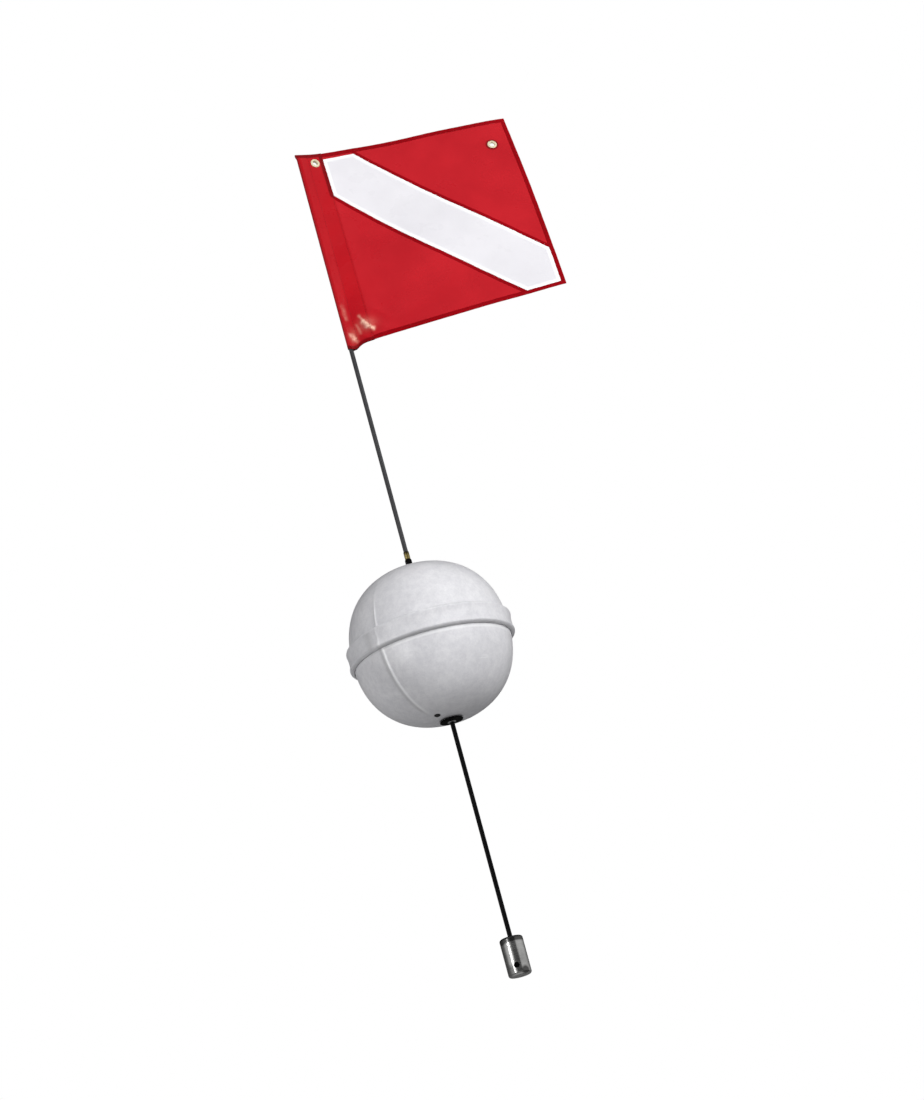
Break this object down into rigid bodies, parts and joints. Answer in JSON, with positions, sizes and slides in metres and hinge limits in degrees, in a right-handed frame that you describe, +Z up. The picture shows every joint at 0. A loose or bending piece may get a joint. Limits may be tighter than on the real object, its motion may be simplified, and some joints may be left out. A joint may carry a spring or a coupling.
{
  "type": "dive flag float",
  "caption": "Ball float on a slim two-piece pole with a red and white diagonal-stripe dive flag above and a metal keel weight with a line hole below.",
  "frame": {"origin": "centre of the ball on the pole's axis, where the water holds it up", "axes": "+Z up along the pole towards the flag, +X the way the flag flies, -Y the front side that the picture shows"},
  "size_m": [0.4875, 0.2572, 1.3992],
  "materials": {
    "ball_plastic": "fine-grained moulded plastic, semi-matt white",
    "seal_rubber": "soft sealing rubber",
    "tube_plastic": "extruded plastic tube",
    "bush_plastic": "moulded plastic",
    "plug_rubber": "smooth black rubber",
    "rod_black": "black glass-fibre rod, satin",
    "rod_grey": "dark grey glass-fibre rod, satin",
    "socket_brass": "turned brass",
    "ferrule_brass": "turned brass, tarnished at the top",
    "collar_rubber": "matt black rubber",
    "washer_rubber": "matt black rubber",
    "tip_rubber": "matt black rubber",
    "nut_steel": "spring steel",
    "weight_steel": "turned and polished steel",
    "screw_steel": "dark steel",
    "flag_red": "red vinyl-coated cloth, semi-gloss",
    "flag_white": "white vinyl-coated cloth, semi-gloss",
    "grommet_brass": "stamped brass"
  },
  "bodies": {
    "float_ball": {"shell_upper": "ball_plastic", "shell_lower": "ball_plastic", "belt_seal": "seal_rubber", "core_tube": "tube_plastic", "tube_seal_upper": "seal_rubber", "tube_seal_lower": "seal_rubber", "pole_bush_upper": "bush_plastic", "pole_bush_lower": "bush_plastic"},
    "vent_plug": {"vent_plug": "plug_rubber"},
    "lower_pole": {"pole_lower": "rod_black", "pole_socket": "socket_brass", "top_collar": "collar_rubber", "bottom_washer": "washer_rubber", "push_nut": "nut_steel", "weight": "weight_steel", "weight_set_screw": "screw_steel"},
    "upper_pole": {"pole_upper": "rod_grey", "pole_ferrule": "ferrule_brass", "pole_tip": "tip_rubber"},
    "flag": {"flag_panel": "flag_red", "flag_sleeve": "flag_red", "flag_stripe_front": "flag_white", "flag_stripe_back": "flag_white", "grommet_hoist_eyelet": "grommet_brass", "grommet_hoist_washer": "grommet_brass", "grommet_fly_eyelet": "grommet_brass", "grommet_fly_washer": "grommet_brass"}
  },
  "joints": [
    {"name": "pole_spin", "type": "hinge", "parent": "float_ball", "child": "lower_pole", "pos_m": [0, 0, 0], "axis": [0, 0, 1], "continuous": true},
    {"name": "upper_pole_lift", "type": "slide", "parent": "lower_pole", "child": "upper_pole", "axis": [0, 0, 1], "range_m": [0, 0.032]},
    {"name": "flag_swing", "type": "hinge", "parent": "upper_pole", "child": "flag", "pos_m": [0, 0, 0.68], "axis": [0, 0, 1], "continuous": true},
    {"name": "vent_plug_pull", "type": "slide", "parent": "float_ball", "child": "vent_plug", "axis": [-0.1089, -0.1957, -0.9746], "range_m": [0, 0.012]}
  ]
}
